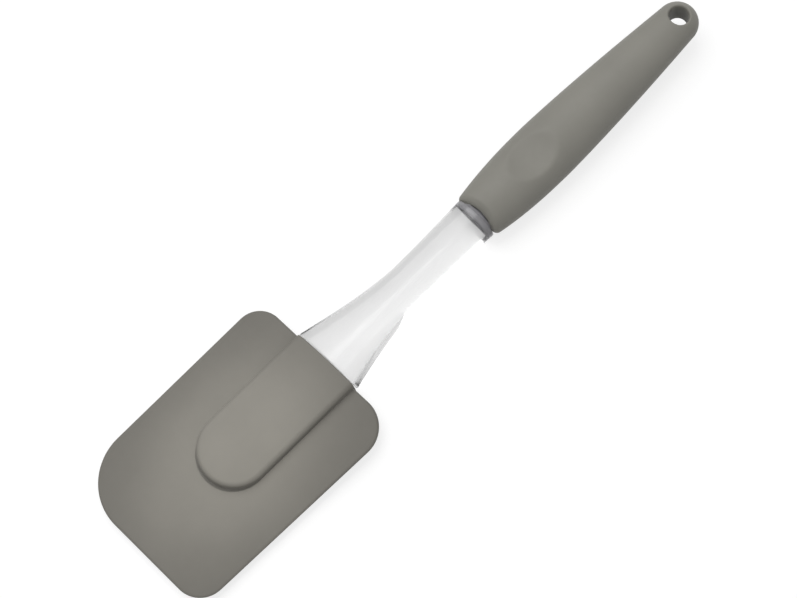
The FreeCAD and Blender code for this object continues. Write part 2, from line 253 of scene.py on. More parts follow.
class Skin:
    """Points and faces of one closed piece, gathered strip by strip."""

    def __init__(self):
        self.points = []
        self.faces = []

    def grid(self, lines, closed=False):
        """Quads between neighbouring lines, which all have the same number of points."""
        start = len(self.points)
        count = len(lines[0])
        for line in lines:
            self.points.extend(line)
        for row in range(len(lines) - 1):
            for step in range(count if closed else count - 1):
                here = start + row * count + step
                beside = start + row * count + (step + 1) % count
                self.faces.append((here, beside, beside + count, here + count))

    def both_halves(self, lines):
        """The lines as a grid, and their mirror image below the mid plane."""
        self.grid(lines)
        self.grid([[(x, y, 2 * MID_Z - z) for x, y, z in line] for line in lines])

    def piece(self, name):
        """Welded, smooth mesh object with its faces turned outwards."""
        mesh = bpy.data.meshes.new(name)
        mesh.from_pydata(self.points, [], self.faces)
        work = bmesh.new()
        work.from_mesh(mesh)
        bmesh.ops.remove_doubles(work, verts=work.verts, dist=WELD)
        bmesh.ops.dissolve_degenerate(work, edges=work.edges, dist=WELD)
        bmesh.ops.recalc_face_normals(work, faces=work.faces)
        work.to_mesh(mesh)
        work.free()
        mesh.shade_smooth()
        mesh.set_sharp_from_angle(angle=SHARP_ANGLE)
        piece = bpy.data.objects.new(name, mesh)
        bpy.context.scene.collection.objects.link(piece)
        return piece


def mix(low, high, amount):
    """Value between low and high."""
    return low + (high - low) * amount


def even(low, high, count):
    """Evenly spaced values from low to high, both included."""
    return [mix(low, high, step / count) for step in range(count + 1)]


def quarter_turn(count):
    """Evenly spaced angles from nothing to a right angle."""
    return even(0.0, math.pi / 2, count)


def tongue_profile(half_width, half_thick, edge, crown=0.0, draw_in=0.0, foot=0.0):
    """Inset and height of the points from the middle of a broad face, round its edge and down to the foot."""
    radius = edge - draw_in
    top = half_thick - draw_in
    pairs = []
    for step in range(FACE_ROWS):
        amount = step / FACE_ROWS
        pairs.append((mix(half_width, edge, amount), top - crown * amount**2))
    for step in range(EDGE_ROWS):
        angle = math.pi / 2 * step / EDGE_ROWS
        pairs.append((draw_in + radius * (1 - math.sin(angle)), top - crown - radius * (1 - math.cos(angle))))
    for step in range(SIDE_ROWS + 1):
        pairs.append((draw_in, mix(top - crown - radius, foot, step / SIDE_ROWS)))
    return pairs


class Column:
    """Upright cut through a tongue: where it starts on the middle line and which way it faces."""

    def __init__(self, x, across, along=0.0, draw_in=0.0, bow=None):
        self.x = x
        self.across = across
        self.along = along
        self.draw_in = draw_in
        self.bow = bow

    def place(self, reach, height):
        """Point that lies reach away from the middle line and height above the mid plane."""
        x = self.x + self.along * reach
        y = self.across * reach
        if self.bow:
            x += self.bow.shift(self.x, y)
        return (x, y, MID_Z + height)


def fade_out(x, x_end, extent):
    """Share from 1 at an end to 0 at some extent from it, with a soft stop."""
    return max(0.0, 1 - abs(x - x_end) / extent) ** 2


class Bow:
    """Bend and slant of the rim of the boss, which the shoulder of the shank shares and which die away."""

    def __init__(self, sizes, x_end):
        self.sizes = sizes
        self.x_end = x_end

    def shift(self, x, y):
        """Shift along the tool of a point that starts at x on the middle line and lies y from it."""
        bend = self.sizes.rim_bow * (2 * y / self.sizes.boss_width) ** 2
        return fade_out(x, self.x_end, self.sizes.bow_reach) * (bend - y * math.tan(self.sizes.edge_slant))

    def start(self, foot, y):
        """Where the column starts that meets the side y at a station, found by repetition."""
        x = foot
        for _ in range(REPEATS):
            x = foot - self.shift(x, y)
        return x


def rim_x():
    """Station where the rim of the boss crosses the middle line."""
    return SLEEVE_HIGH.x + bpy.context.scene.spatula_head.rim_from_grip


def tongue_columns(mouth, left, right, x_round, arc_count, bow):
    """Columns from the mouth along -Y, round the nose and back along +Y."""
    columns = [Column(x, -1.0, draw_in=draw_in, bow=bow) for x, draw_in in mouth]
    columns += [Column(x, -1.0, bow=bow) for x in left]
    for angle in even(-math.pi / 2, math.pi / 2, arc_count):
        columns.append(Column(x_round, math.sin(angle), math.cos(angle)))
    columns += [Column(x, 1.0, bow=bow) for x in reversed(right)]
    columns += [Column(x, 1.0, draw_in=draw_in, bow=bow) for x, draw_in in reversed(mouth)]
    return columns


def mouth_steps(x_mouth, edge, count=5):
    """Stations and draw-in of a rounded mouth, from its face inwards; a negative edge flares."""
    steps = []
    for step in range(count):
        angle = math.pi / 2 * step / count
        steps.append((x_mouth + abs(edge) * (1 - math.cos(angle)), edge * (1 - math.sin(angle))))
    return steps


class Outline:
    """Open run of straight lines joined by arcs, with the inside on its left."""

    def __init__(self, points, radii):
        self.runs = []
        directions = [(b - a).normalized() for a, b in zip(points, points[1:])]
        start = points[0]
        for index, radius in enumerate(radii):
            before, after = directions[index], directions[index + 1]
            turn = before.angle_signed(after) * -1
            tangent = radius * math.tan(turn / 2)
            corner = points[index + 1]
            stop = corner - before * tangent
            inward = Vector((-before.y, before.x))
            self.runs.append(((stop - start).length, start, before, inward, 0.0))
            self.runs.append((radius * turn, stop + inward * radius, before, inward, radius))
            start = corner + after * tangent
        last = directions[-1]
        self.runs.append(((points[-1] - start).length, start, last, Vector((-last.y, last.x)), 0.0))
        self.total = sum(run[0] for run in self.runs)

    def at(self, travel):
        """Point and inward direction after some travel along the outline."""
        for extent, anchor, ahead, inward, radius in self.runs:
            if travel <= extent or (extent, anchor) == self.runs[-1][:2]:
                break
            travel -= extent
        if radius == 0.0:
            return anchor + ahead * travel, inward
        turned = Matrix.Rotation(travel / radius, 2) @ inward
        return anchor - turned * radius, turned

    def depth(self, point):
        """Distance from a point inside to the outline."""
        straight = [(anchor, inward) for _, anchor, _, inward, radius in self.runs if radius == 0.0]
        nearest = min((point - anchor).dot(inward) for anchor, inward in straight)
        for extent, centre, ahead, inward, radius in self.runs:
            if radius == 0.0:
                continue
            turned = Matrix.Rotation(extent / radius, 2) @ ahead
            offset = point - centre
            if offset.dot(ahead) > 0 and offset.dot(turned) < 0:
                nearest = min(nearest, radius - offset.length)
        return max(nearest, 0.0)


class BladePlan:
    """Outline of the blade, the stations where its near edge meets the boss, and its heights."""

    def __init__(self, sizes, bow):
        half_width = sizes.boss_width / 2
        near = sizes.width_near / 2
        far = sizes.width_far / 2
        slope = math.tan(sizes.edge_slant)
        x_full = rim_x() + sizes.mouth_edge
        x_far = HEAD_HIGH.x + slope * sizes.far_round
        self.sizes = sizes
        self.x_near = rim_x() + sizes.blade_back
        self.x_round = rim_x() + sizes.boss_length - half_width
        self.x_left = max(self.x_near + slope * half_width, x_full + bow.shift(x_full, -half_width))
        self.x_right = max(self.x_near - slope * half_width, x_full + bow.shift(x_full, half_width))
        corners = (
            (self.x_left, -half_width),
            (self.x_near + slope * near, -near),
            (x_far, -far - sizes.far_shift),
            (x_far - slope * sizes.width_far, far - sizes.far_shift),
            (self.x_near - slope * near, near),
            (self.x_right, half_width),
        )
        radii = (sizes.near_tight, sizes.far_round, sizes.far_tight, sizes.near_round)
        self.outline = Outline([Vector(corner) for corner in corners], radii)
        self.left_travel = self.travel_to_round(0.0)
        self.right_travel = self.travel_to_round(self.outline.total)

    def travel_to_round(self, near_end):
        """Travel to where the outline passes the start of the round tip, found by halving from one end."""
        low = near_end
        high = self.outline.total / 2
        for _ in range(HALVINGS):
            middle = (low + high) / 2
            if self.outline.at(middle)[0].x < self.x_round:
                low = middle
            else:
                high = middle
        return low

    def meets(self, column, foot_x):
        """Whether the foot of a column stands on the blade."""
        return foot_x > (self.x_left if column.across < 0 else self.x_right) + WELD

    def paired_travel(self, column, foot_x):
        """Travel along the outline to where the line from a column's foot ends."""
        if column.along != 0.0:
            turned = math.atan2(column.across, column.along) + math.pi / 2
            return mix(self.left_travel, self.right_travel, turned / math.pi)
        x_start = self.x_left if column.across < 0 else self.x_right
        amount = (foot_x - x_start) / (self.x_round - x_start)
        if column.across < 0:
            return mix(0.0, self.left_travel, amount)
        return mix(self.outline.total, self.right_travel, amount)

    def height(self, x, y):
        """Height of the blade above the mid plane over a point of its plan."""
        sizes = self.sizes
        half = mix(sizes.half_near, sizes.half_far, (x - self.x_near) / (HEAD_HIGH.x - self.x_near))
        half *= 1 - sizes.crown * (2 * y / sizes.width_near) ** 2
        depth = self.outline.depth(Vector((x, y)))
        if depth < sizes.rim:
            half *= math.sqrt(1 - (1 - depth / sizes.rim) ** 2)
        return half


def add_node(tree, kind, **values):
    """Shader node with its settings and its sockets' plain values."""
    node = tree.nodes.new(kind)
    for key, value in values.items():
        if hasattr(node, key):
            setattr(node, key, value)
        else:
            node.inputs[key.replace("_", " ")].default_value = value
    return node


def new_material(name):
    """Material with an empty tree, its output and a Principled shader that feeds it."""
    material = bpy.data.materials.new(name)
    material.use_nodes = True
    tree = material.node_tree
    tree.nodes.clear()
    shader = add_node(tree, "ShaderNodeBsdfPrincipled")
    output = add_node(tree, "ShaderNodeOutputMaterial")
    tree.links.new(shader.outputs["BSDF"], output.inputs["Surface"])
    return material, tree, shader


def noise(tree, scale, detail=2.0, roughness=0.5):
    """Noise in the frame of the tool, at a scale in repeats per metre."""
    place = add_node(tree, "ShaderNodeTexCoord")
    texture = add_node(tree, "ShaderNodeTexNoise", Scale=scale, Detail=detail, Roughness=roughness)
    tree.links.new(place.outputs["Object"], texture.inputs["Vector"])
    return texture.outputs["Fac"]


def spread(tree, source, low, high):
    """Noise stretched from its usual span to a span from low to high."""
    node = add_node(tree, "ShaderNodeMapRange")
    for socket, value in zip(node.inputs[1:5], (NOISE_LOW, NOISE_HIGH, low, high)):
        socket.default_value = value
    tree.links.new(source, node.inputs["Value"])
    return node.outputs["Result"]


def tint(tree, source, base, swing):
    """Colour that swings a little about a base as the source goes from 0 to 1."""
    ramp = add_node(tree, "ShaderNodeValToRGB")
    dark, light = ramp.color_ramp.elements
    dark.position = NOISE_LOW
    light.position = NOISE_HIGH
    dark.color = [channel * (1 - swing) for channel in base] + [1.0]
    light.color = [channel * (1 + swing) for channel in base] + [1.0]
    tree.links.new(source, ramp.inputs["Fac"])
    return ramp.outputs["Color"]


def bump(tree, shader, source, strength, distance):
    """Fine relief from a source."""
    node = add_node(tree, "ShaderNodeBump", Strength=strength, Distance=distance)
    tree.links.new(source, node.inputs["Height"])
    tree.links.new(node.outputs["Normal"], shader.inputs["Normal"])


def mottle(tree, shader, base, scale, detail, swing):
    """Base colour that swings a little from place to place."""
    tree.links.new(tint(tree, noise(tree, scale, detail), base, swing), shader.inputs["Base Color"])


def uneven_gloss(tree, shader, scale, detail, low, high):
    """Roughness that goes from low to high from place to place."""
    tree.links.new(spread(tree, noise(tree, scale, detail), low, high), shader.inputs["Roughness"])


def silicone_finish(name, base):
    """Matte moulded silicone: faint mottling, a fine spark-eroded grain and a soft bloom."""
    material, tree, shader = new_material(name)
    mottle(tree, shader, base, scale=70.0, detail=4.0, swing=0.035)
    uneven_gloss(tree, shader, scale=420.0, detail=3.0, low=0.52, high=0.58)
    shader.inputs["Specular IOR Level"].default_value = 0.36
    shader.inputs["Sheen Weight"].default_value = 0.06
    grain = noise(tree, scale=3600.0, detail=2.0, roughness=0.6)
    bump(tree, shader, grain, strength=0.25, distance=0.03 * MM)
    return material


def clear_finish(name, base):
    """Polished clear plastic with slight flow marks from its mould."""
    material, tree, shader = new_material(name)
    shader.inputs["Base Color"].default_value = (*base, 1.0)
    shader.inputs["Transmission Weight"].default_value = 1.0
    shader.inputs["IOR"].default_value = 1.5
    uneven_gloss(tree, shader, scale=260.0, detail=3.0, low=0.14, high=0.18)
    bump(tree, shader, noise(tree, scale=40.0, detail=1.0), strength=0.05, distance=0.05 * MM)
    depth = add_node(tree, "ShaderNodeVolumeAbsorption", Color=(0.5, 0.5, 0.5, 1.0), Density=12.0)
    output = next(node for node in tree.nodes if node.type == "OUTPUT_MATERIAL")
    tree.links.new(depth.outputs["Volume"], output.inputs["Volume"])
    return material


def core_finish(name, base):
    """Dark moulded plastic with a fine texture."""
    material, tree, shader = new_material(name)
    mottle(tree, shader, base, scale=160.0, detail=3.0, swing=0.08)
    uneven_gloss(tree, shader, scale=700.0, detail=2.0, low=0.6, high=0.72)
    bump(tree, shader, noise(tree, scale=2500.0, detail=2.0), strength=0.2, distance=0.02 * MM)
    return material


def seen_level(tree, unseen, seen, through):
    """Level of light for most rays, for rays of the camera or off a mirror, and for rays through glass."""
    path = add_node(tree, "ShaderNodeLightPath")
    level = unseen
    for kinds, value in ((("Is Camera Ray", "Is Glossy Ray"), seen), (("Is Transmission Ray",), through)):
        for kind in kinds:
            choice = add_node(tree, "ShaderNodeMix", data_type="FLOAT")
            tree.links.new(path.outputs[kind], choice.inputs["Factor"])
            if isinstance(level, float):
                choice.inputs["A"].default_value = level
            else:
                tree.links.new(level, choice.inputs["A"])
            choice.inputs["B"].default_value = value
            level = choice.outputs["Result"]
    return level


def floor_finish(name, base, seen, through):
    """Pale floor that shows white to the camera and in mirrors, and keeps soft shadows."""
    material, tree, shader = new_material(name)
    mottle(tree, shader, base, scale=8.0, detail=2.0, swing=0.01)
    shader.inputs["Roughness"].default_value = 0.35
    shader.inputs["Specular IOR Level"].default_value = 0.25
    tree.links.new(seen_level(tree, 0.0, seen, through), shader.inputs["Emission Strength"])
    shader.inputs["Emission Color"].default_value = (1.0, 1.0, 1.0, 1.0)
    return material


def dress(piece, material, body, node=None):
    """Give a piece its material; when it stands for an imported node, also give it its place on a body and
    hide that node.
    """
    piece.data.materials.clear()
    piece.data.materials.append(material)
    if node:
        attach(piece, body)
        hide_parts(node)


class SPATULA_OT_head(bpy.types.Operator):
    """Mould the silicone head: a thin crowned blade and a raised boss with a pocket"""

    bl_idname = "spatula.head"
    bl_label = "Silicone head"

    # Columns before and along the blade and round the tip, and how they crowd where the blade begins
    lead_stations = 3
    side_stations = 60
    tip_steps = 120
    crowding = 1.6
    pocket_stations = 20
    pocket_tip_steps = 40
    # Room in which the fillet at the foot grows to its size, and that the blade's rim takes up
    fillet_room = 4
    rim_room = 1.3

    def execute(self, context):
        sizes = context.scene.spatula_head
        skin = Skin()
        boss = self.boss_lines(sizes)
        pocket = self.pocket_lines(sizes)
        rows = len(pocket[0])
        skin.both_halves(boss)
        skin.both_halves(pocket)
        for end in (0, -1):
            skin.both_halves([boss[end][:rows], pocket[end]])
        piece = skin.piece("moulded_head")
        finish = silicone_finish("head_silicone", context.scene.spatula_finish.head_silicone)
        dress(piece, finish, "head", "silicone_head")
        return {"FINISHED"}

    def pocket_lines(self, sizes):
        """Upper half of the pocket, from its flared mouth to its round end."""
        half_width = sizes.boss_width / 2 - sizes.pocket_wall
        half_thick = HEAD_HIGH.z - MID_Z - sizes.pocket_wall
        x_round = rim_x() + sizes.boss_length - sizes.pocket_end - half_width
        mouth = mouth_steps(rim_x(), -sizes.mouth_edge / 2)
        stations = even(rim_x() + sizes.mouth_edge / 2, x_round, self.pocket_stations)[:-1]
        bow = Bow(sizes, rim_x())
        lines = []
        for column in tongue_columns(mouth, stations, stations, x_round, self.pocket_tip_steps, bow):
            profile = tongue_profile(half_width, half_thick, sizes.pocket_edge, draw_in=column.draw_in)
            lines.append([column.place(half_width - inset, height) for inset, height in profile])
        return lines

    def boss_lines(self, sizes):
        """Upper half of the outside: over the boss, down its wall, across the blade and round its rim."""
        half_width = sizes.boss_width / 2
        half_thick = HEAD_HIGH.z - MID_Z
        bow = Bow(sizes, rim_x())
        blade = BladePlan(sizes, bow)
        lines = []
        for column in self.boss_columns(sizes, blade, bow):
            foot_x, foot_y, _ = column.place(half_width, 0.0)
            points = []
            rise = 0.0
            if blade.meets(column, foot_x):
                points = self.blade_points(sizes, blade, column, Vector((foot_x, foot_y)))
                rise = points[0][2] - MID_Z
            profile = tongue_profile(
                half_width, half_thick, sizes.boss_edge, sizes.boss_crown, column.draw_in, rise
            )
            line = [column.place(half_width - inset, height) for inset, height in profile]
            lines.append(line + (points[1:] or line[-1:] * (FILLET_ROWS + BLADE_ROWS + RIM_ROWS)))
        return lines

    def boss_columns(self, sizes, blade, bow):
        """Columns round the boss, which crowd where the near edge of the blade meets it."""
        half_width = sizes.boss_width / 2
        x_full = rim_x() + sizes.mouth_edge
        amounts = [(step / self.side_stations) ** self.crowding for step in range(self.side_stations)]
        sides = []
        for x_edge, y_edge in ((blade.x_left, -half_width), (blade.x_right, half_width)):
            start = max(bow.start(x_edge, y_edge), x_full)
            before = even(x_full, start, self.lead_stations)[:-1] if start > x_full + WELD else []
            sides.append(before + [mix(start, blade.x_round, amount) for amount in amounts])
        mouth = mouth_steps(rim_x(), sizes.mouth_edge)
        return tongue_columns(mouth, *sides, blade.x_round, self.tip_steps, bow)

    def blade_points(self, sizes, blade, column, foot):
        """Points from the top of the fillet at a column's foot, across the blade to the middle of its rim."""
        rim_point, inward = blade.outline.at(blade.paired_travel(column, foot.x))
        outward = Vector((column.along, column.across))
        growth = min(1.0, (rim_point - foot).length / (self.fillet_room * sizes.boss_foot))
        fillet = sizes.boss_foot * growth
        rim_depth = self.rim_room * sizes.rim * growth
        points = []
        for angle in quarter_turn(FILLET_ROWS):
            at = foot + outward * fillet * (1 - math.cos(angle))
            rise = blade.height(at.x, at.y) + fillet * (1 - math.sin(angle))
            points.append((at.x, at.y, MID_Z + rise))
        start = foot + outward * fillet
        stop = rim_point + inward * rim_depth
        across = [start.lerp(stop, amount) for amount in even(0.0, 1.0, BLADE_ROWS)[1:]]
        for angle in quarter_turn(RIM_ROWS)[1:-1]:
            across.append(rim_point + inward * rim_depth * (1 - math.sin(angle)))
        points += [(at.x, at.y, MID_Z + blade.height(at.x, at.y)) for at in across]
        points.append((rim_point.x, rim_point.y, MID_Z))
        return points


class SPATULA_OT_shank(bpy.types.Operator):
    """Mould the clear shank: tang and skirt at the grip, waisted bar, tongue at the head"""

    bl_idname = "spatula.shank"
    bl_label = "Clear shank"

    # Rings round the noses, the skirt's lip and the outer edges, and stations along the lengths
    nose_steps = 6
    lip_steps = 3
    edge_steps = 4
    tang_stations = 16
    bar_stations = 240
    tongue_stations = 24
    tongue_tip_steps = 40

    def execute(self, context):
        sizes = context.scene.spatula_shank
        skin = Skin()
        rings = self.tang_rings(sizes) + self.bar_rings(sizes)
        tongue = self.tongue_lines(sizes)
        skin.grid(rings, closed=True)
        skin.both_halves(tongue)
        skin.grid([rings[-1], self.base_ring(tongue)], closed=True)
        piece = skin.piece("clear_bar")
        finish = clear_finish("clear_plastic", context.scene.spatula_finish.clear_plastic)
        dress(piece, finish, "handle", "clear_shank")
        # Light passes the clear bar, so it throws no dark shadow
        piece.visible_shadow = False
        return {"FINISHED"}

    def round_ring(self, x, half_width, half_thick, squareness=ELLIPSE):
        """Ellipse, or a squarer curve of some power, from the middle of the top round by -Y."""
        quarter = []
        for angle in quarter_turn(FACE_ROWS + EDGE_ROWS + SIDE_ROWS):
            across = math.sin(angle)
            upright = max(0.0, math.cos(angle))
            reach = (across**squareness + upright**squareness) ** (-1 / squareness)
            quarter.append((half_width * across * reach, half_thick * upright * reach))
        quarter[-1] = (half_width, 0.0)
        return self.whole_ring(x, quarter)

    def whole_ring(self, x, quarter):
        """Ring from the points of one quarter, which runs from its top to its side."""
        left = [(x, -y, MID_Z + z) for y, z in quarter[:-1]]
        under = [(x, -y, MID_Z - z) for y, z in reversed(quarter[1:])]
        right = [(x, y, MID_Z - z) for y, z in quarter[:-1]]
        over = [(x, y, MID_Z + z) for y, z in reversed(quarter[1:])]
        return left + under + right + over

    def tang_rings(self, sizes):
        """Rings from the end of the tang, over the floor of the recess, to the inside of the skirt's rim."""
        half_width = sizes.tang_width / 2
        half_thick = sizes.tang_thick / 2
        x_end = SHANK_LOW.x
        x_root = SLEEVE_HIGH.x + sizes.lap
        x_skirt = self.skirt_x(sizes)
        rings = []
        for angle in quarter_turn(self.nose_steps):
            rings.append(self.round_ring(
                x_end + half_thick * (1 - math.cos(angle)) / 2,
                half_width * math.sin(angle),
                half_thick * math.sin(angle),
            ))
        recess_width = sizes.end_width / 2 - sizes.skirt_wall
        recess_thick = sizes.end_thick / 2 - sizes.skirt_wall
        stations = even(x_end + half_thick, x_root, self.tang_stations)
        rings += [self.round_ring(x, half_width, half_thick) for x in stations]
        for angle in quarter_turn(self.nose_steps):
            x = x_root - sizes.nose * (1 - math.cos(angle))
            draw_in = sizes.nose * (1 - math.sin(angle))
            rings.append(self.round_ring(x, recess_width - draw_in, recess_thick - draw_in))
        rings.append(self.round_ring(x_skirt + sizes.edge, recess_width, recess_thick))
        for angle in quarter_turn(self.lip_steps)[1:]:
            grow = sizes.edge * (1 - math.cos(angle))
            x = x_skirt + sizes.edge * (1 - math.sin(angle))
            rings.append(self.round_ring(x, recess_width + grow, recess_thick + grow))
        return rings

    def skirt_x(self, sizes):
        """Station of the skirt's end, just clear of the mouth of the sleeve."""
        return SLEEVE_HIGH.x + sizes.skirt_gap

    def bar_section(self, sizes, x):
        """Half width, half thickness and squareness of the bar at a station."""
        x_waist = SLEEVE_HIGH.x + sizes.waist_from_grip
        if x > x_waist:
            amount = min(1.0, (x - x_waist) / (self.shoulder_x(sizes) - x_waist))
            width = mix(sizes.waist_width, sizes.flare_width, amount**sizes.flare_power)
            thick = mix(sizes.waist_thick, sizes.flare_thick, amount)
            squareness = mix(sizes.neck_squareness, sizes.flare_squareness, amount)
        else:
            amount = (x_waist - x) / (x_waist - self.skirt_x(sizes))
            width = mix(sizes.waist_width, sizes.end_width, amount**sizes.neck_power)
            thick = mix(sizes.waist_thick, sizes.end_thick, amount)
            squareness = mix(sizes.neck_squareness, ELLIPSE, amount**2)
        return width / 2, thick / 2, squareness

    def bar_rings(self, sizes):
        """Rings of the outside of the bar, from the skirt's end to its shoulder, with rounded end edges."""
        x_skirt = self.skirt_x(sizes)
        x_shoulder = self.shoulder_x(sizes)
        bow = Bow(bpy.context.scene.spatula_head, x_shoulder)
        stations = self.round_end(x_skirt, sizes.edge, 1.0)
        along = even(x_skirt + sizes.edge, x_shoulder - sizes.edge, self.bar_stations)
        stations += [(x, 0.0) for x in along[1:-1]]
        stations += list(reversed(self.round_end(x_shoulder, sizes.edge, -1.0)))
        rings = []
        for x, draw_in in stations:
            half_width, half_thick, squareness = self.bar_section(sizes, x)
            ring = self.round_ring(x, half_width - draw_in, half_thick - draw_in, squareness)
            rings.append([(x + bow.shift(x, y), y, z) for x, y, z in ring])
        return rings

    def shoulder_x(self, sizes):
        """Station of the shoulder on the middle line, just clear of the rim of the boss."""
        return rim_x() - sizes.rim_gap

    def round_end(self, x_face, edge, way):
        """Stations and draw-in from an end face to where the section is full."""
        steps = []
        for angle in quarter_turn(self.edge_steps):
            steps.append((x_face + way * edge * (1 - math.cos(angle)), edge * (1 - math.sin(angle))))
        return steps

    def tongue_lines(self, sizes):
        """Upper half of the tongue, from the shoulder to its round nose."""
        half_width = sizes.tongue_width / 2
        x_shoulder = self.shoulder_x(sizes)
        x_round = SHANK_HIGH.x - half_width
        bow = Bow(bpy.context.scene.spatula_head, x_shoulder)
        lines = []
        stations = even(x_shoulder, x_round, self.tongue_stations)[:-1]
        for column in tongue_columns([], stations, stations, x_round, self.tongue_tip_steps, bow):
            profile = tongue_profile(half_width, sizes.tongue_thick / 2, sizes.tongue_edge)
            lines.append([column.place(half_width - inset, height) for inset, height in profile])
        return lines

    def base_ring(self, tongue):
        """Ring round the base of the tongue, from the middle of its top round by -Y."""
        left = tongue[0]
        right = tongue[-1]
        below_left = [(x, y, 2 * MID_Z - z) for x, y, z in reversed(left)]
        below_right = [(x, y, 2 * MID_Z - z) for x, y, z in right]
        return left[:-1] + below_left[:-1] + below_right[:-1] + list(reversed(right))[:-1]


class SPATULA_OT_core(bpy.types.Operator):
    """Finish the hard core of the grip, which shows at the sleeve's mouth and through the clear skirt"""

    bl_idname = "spatula.core"
    bl_label = "Grip core"

    def execute(self, context):
        finish = core_finish("core_plastic", context.scene.spatula_finish.core_plastic)
        dress(frame["nodes"]["grip_core"], finish, "handle")
        return {"FINISHED"}


class SPATULA_OT_sleeve(bpy.types.Operator):
    """Mould the soft sleeve of the grip, with its thumb dishes and its hang hole"""

    bl_idname = "spatula.sleeve"
    bl_label = "Soft sleeve"

    # Points round half a section, stations along the outside and inside, and rings round the lip
    ring_steps = 96
    outer_stations = 200
    inner_stations = 60
    lip_steps = 8
    # Points along the sides and round the nose of the end, and along each of its spokes
    side_steps = 24
    nose_steps = 64
    wall_steps = 6
    edge_steps = 8
    spoke_steps = 24
    # How many radii of the hang hole the end with the spokes reaches from the hole's middle
    end_radii = 2.6
    # Gap between the core and the flat end inside the sleeve
    core_gap = 0.1 * MM

    def execute(self, context):
        sizes = context.scene.spatula_sleeve
        skin = Skin()
        outer = self.outer_lines(sizes)
        inner = self.inner_lines(sizes)
        skin.both_halves(outer)
        skin.both_halves(inner)
        skin.both_halves([outer[0], inner[0]])
        skin.both_halves(self.end_lines(sizes, outer[-1]))
        piece = skin.piece("soft_sleeve")
        finish = silicone_finish("grip_silicone", context.scene.spatula_finish.grip_silicone)
        dress(piece, finish, "handle", "grip_sleeve")
        return {"FINISHED"}

    def halves(self, sizes, x):
        """Half width and half thickness of the round grip, and height of the thumb dish at a station."""
        x_mouth = SLEEVE_HIGH.x
        x_belly = x_mouth - sizes.belly_from_mouth
        x_cap = SLEEVE_LOW.x + sizes.end_width / 2
        if x > x_belly:
            amount = ((x - x_belly) / sizes.belly_from_mouth) ** sizes.front_power
            ends = sizes.mouth_width, sizes.mouth_thick
        else:
            amount = min(1.0, (x_belly - x) / (x_belly - x_cap)) ** sizes.rear_power
            ends = sizes.end_width, sizes.end_thick
        half_width = mix(sizes.belly_width, ends[0], amount) / 2
        half_thick = mix(sizes.belly_thick, ends[1], amount) / 2
        if x < x_cap:
            shrink = math.sqrt(max(0.0, 1 - ((x_cap - x) / (x_cap - SLEEVE_LOW.x)) ** 2))
            half_width *= shrink
            half_thick *= shrink
        along = min(abs(x - x_mouth + sizes.thumb_from_mouth), sizes.thumb_radius)
        rise = sizes.thumb_radius - math.sqrt(sizes.thumb_radius**2 - along**2)
        return half_width, half_thick, sizes.thumb_thick / 2 + rise

    def pressed(self, sizes, height, dish):
        """Height pressed down to the dish, with a soft edge between them."""
        blend = sizes.thumb_blend
        amount = min(1.0, max(0.0, 0.5 + 0.5 * (dish - height) / blend))
        return mix(dish, height, amount) - blend * amount * (1 - amount)

    def half_ring(self, sizes, x, inset=0.0):
        """Upper half of the section at a station, from -Y over the top to +Y."""
        half_width, half_thick, dish = self.halves(sizes, x)
        fade = fade_out(x, SLEEVE_HIGH.x, sizes.saddle_reach)
        points = []
        for angle in even(-math.pi / 2, math.pi / 2, self.ring_steps):
            y = (half_width - inset) * math.sin(angle)
            height = self.pressed(sizes, (half_thick - inset) * math.cos(angle), dish - inset)
            if abs(y) > half_width - inset - WELD:
                height = 0.0
            back = sizes.mouth_saddle * (2 * height / sizes.mouth_thick) ** 2 + sizes.mouth_slant * y
            points.append((x - fade * back, y, MID_Z + max(height, 0.0)))
        return points

    def outer_lines(self, sizes):
        """Outside from the rounded mouth to where the end with the hang hole begins."""
        lip = mouth_steps(0.0, sizes.mouth_edge, self.lip_steps)
        steps = [(SLEEVE_HIGH.x - back, draw_in) for back, draw_in in lip]
        along = even(SLEEVE_HIGH.x - sizes.mouth_edge, self.end_station(), self.outer_stations)
        steps += [(x, 0.0) for x in along]
        return [self.half_ring(sizes, x, draw_in) for x, draw_in in steps]

    def end_station(self):
        """Station where the rings give way to the end that goes round the hang hole."""
        return HANG_HOLE["pos_m"][0] + self.end_radii * HANG_HOLE["dims"]["r_mm"] * MM

    def inner_lines(self, sizes):
        """Inside of the sleeve, from the mouth to its flat end."""
        stations = even(SLEEVE_HIGH.x, CORE_LOW.x - self.core_gap, self.inner_stations)
        lines = [self.half_ring(sizes, x, sizes.wall) for x in stations]
        lines.append([(x, y, MID_Z) for x, y, _ in lines[-1]])
        return lines

    def top_height(self, sizes, x, y):
        """Height of the outside over a point of the plan."""
        half_width, half_thick, dish = self.halves(sizes, x)
        inside = 1 - (y / half_width) ** 2 if half_width > 0 else 0.0
        return max(0.0, self.pressed(sizes, half_thick * math.sqrt(max(0.0, inside)), dish))

    def end_lines(self, sizes, seam):
        """Spokes all round the hang hole, each from its wall to the outline of the end."""
        outline = self.end_outline(sizes, seam)
        heights = [z for _, _, z in seam] + [MID_Z] * (len(outline) - len(seam))
        spokes = [self.spoke(sizes, point, z) for point, z in zip(outline, heights)]
        return spokes + spokes[:1]

    def end_outline(self, sizes, seam):
        """Points round the end in plan: over the seam, along +Y, round the nose and back along -Y."""
        x_cap = SLEEVE_LOW.x + sizes.end_width / 2
        right = []
        for x in even(seam[0][0], x_cap, self.side_steps)[1:-1]:
            right.append(Vector((x, self.halves(sizes, x)[0])))
        nose = []
        for angle in even(0.0, math.pi, self.nose_steps):
            x = x_cap - (x_cap - SLEEVE_LOW.x) * math.sin(angle)
            nose.append(Vector((x, sizes.end_width / 2 * math.cos(angle))))
        left = [Vector((point.x, -point.y)) for point in reversed(right)]
        return [Vector(point[:2]) for point in seam] + right + nose + left

